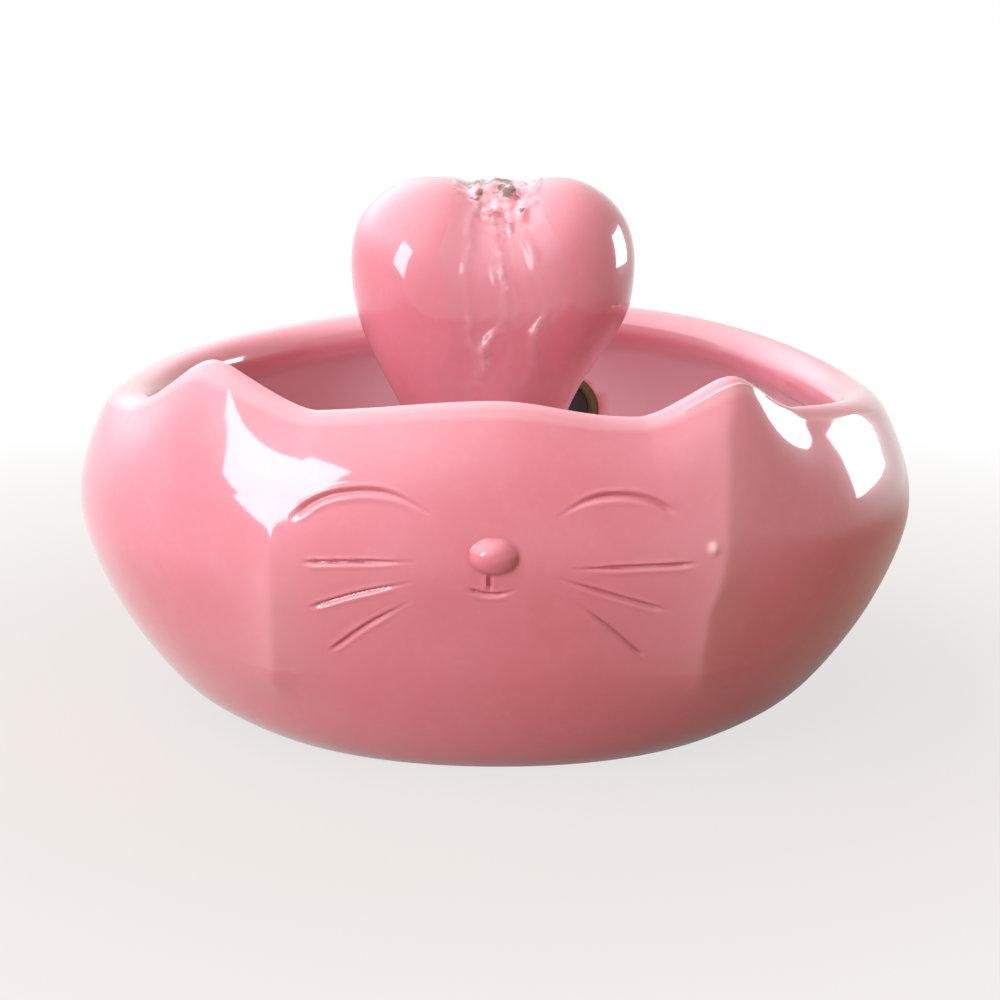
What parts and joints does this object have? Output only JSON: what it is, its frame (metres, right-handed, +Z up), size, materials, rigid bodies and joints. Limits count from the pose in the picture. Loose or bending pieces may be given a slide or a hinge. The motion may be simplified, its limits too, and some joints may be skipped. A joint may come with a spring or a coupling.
{
  "type": "pet water fountain",
  "caption": "Glazed ceramic drinking bowl with a cat's face and ears on its rim, a hollow heart-shaped spout in the middle and a small submersible pump under it.",
  "frame": {"origin": "centre of the bowl's foot, on the surface it stands on", "axes": "+Z up, -Y is the side with the cat's face, +X to the right as seen from the face's side"},
  "size_m": [0.2404, 0.2067, 0.1499],
  "materials": {
    "pink_glaze": "glossy",
    "dark_rubber": "matte",
    "olive_silicone": "satin",
    "clear_silicone": "satin",
    "pump_plastic": "satin",
    "grey_plastic": "satin",
    "potting_resin": "glossy",
    "core_steel": "laminated",
    "bobbin_plastic": "satin",
    "enamelled_copper": "glossy",
    "ferrite": "matte",
    "white_plastic": "satin",
    "shaft_ceramic": "polished",
    "black_rubber": "matte",
    "sponge_foam": "open-cell",
    "water": "clear"
  },
  "bodies": {
    "bowl": {"bowl": "pink_glaze", "cable_grommet": "dark_rubber", "grommet_ring": "olive_silicone"},
    "pump": {"pump_housing": "pump_plastic", "strainer_cover": "pump_plastic", "chamber_cover": "grey_plastic", "outlet_nozzle": "grey_plastic", "potting": "potting_resin", "stator_core": "core_steel", "coil_bobbin": "bobbin_plastic", "coil_winding": "enamelled_copper", "rotor_shaft": "shaft_ceramic", "rear_shaft_bush": "black_rubber", "front_shaft_bush": "black_rubber", "chamber_o_ring": "black_rubber", "pump_cable_gland": "black_rubber", "prefilter_sponge": "sponge_foam", "suction_cups": "black_rubber"},
    "rotor": {"rotor_magnet": "ferrite", "impeller": "white_plastic"},
    "dial": {"flow_dial": "grey_plastic"},
    "spout": {"heart_spout": "pink_glaze", "outlet_bush": "clear_silicone", "riser_tube": "clear_silicone"}
  },
  "joints": [
    {"name": "pump_lift", "type": "slide", "parent": "bowl", "child": "pump", "axis": [0, 0, 1], "range_m": [0, 0.11]},
    {"name": "spout_lift", "type": "slide", "parent": "pump", "child": "spout", "axis": [0, 0, 1], "range_m": [0, 0.12]},
    {"name": "impeller_spin", "type": "hinge", "parent": "pump", "child": "rotor", "pos_m": [0, 0, 0.0415], "axis": [0, 1, 0], "continuous": true},
    {"name": "flow_dial_turn", "type": "hinge", "parent": "pump", "child": "dial", "pos_m": [0, -0.0155, 0.0415], "axis": [0, -1, 0], "range_deg": [0, 90]}
  ]
}
